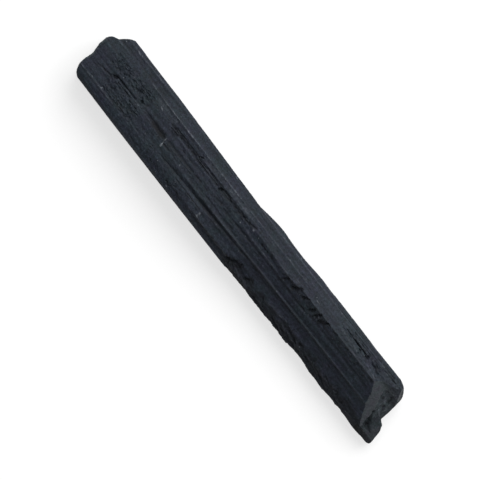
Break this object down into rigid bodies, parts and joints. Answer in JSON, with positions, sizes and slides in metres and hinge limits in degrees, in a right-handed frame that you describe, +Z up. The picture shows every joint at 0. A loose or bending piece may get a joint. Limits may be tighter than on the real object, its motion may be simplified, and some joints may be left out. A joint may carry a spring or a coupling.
{
  "type": "tourmaline crystal",
  "caption": "Long, lengthwise-striated black tourmaline rod with a blunt end, a stepped broken end and a flat underside it rests on.",
  "frame": {"origin": "under the middle of the crystal, on the surface it rests on", "axes": "+X along the crystal towards its stepped, broken end, +Y towards its right long side, +Z up from the face it rests on"},
  "size_m": [0.0799, 0.0114, 0.0098],
  "materials": {
    "black_tourmaline": "opaque black with a faint blue cast, dull gloss on the long faces, rougher on the breaks, with pale scuffs and specks"
  },
  "bodies": {
    "root": {"crystal": "black_tourmaline"}
  },
  "joints": []
}
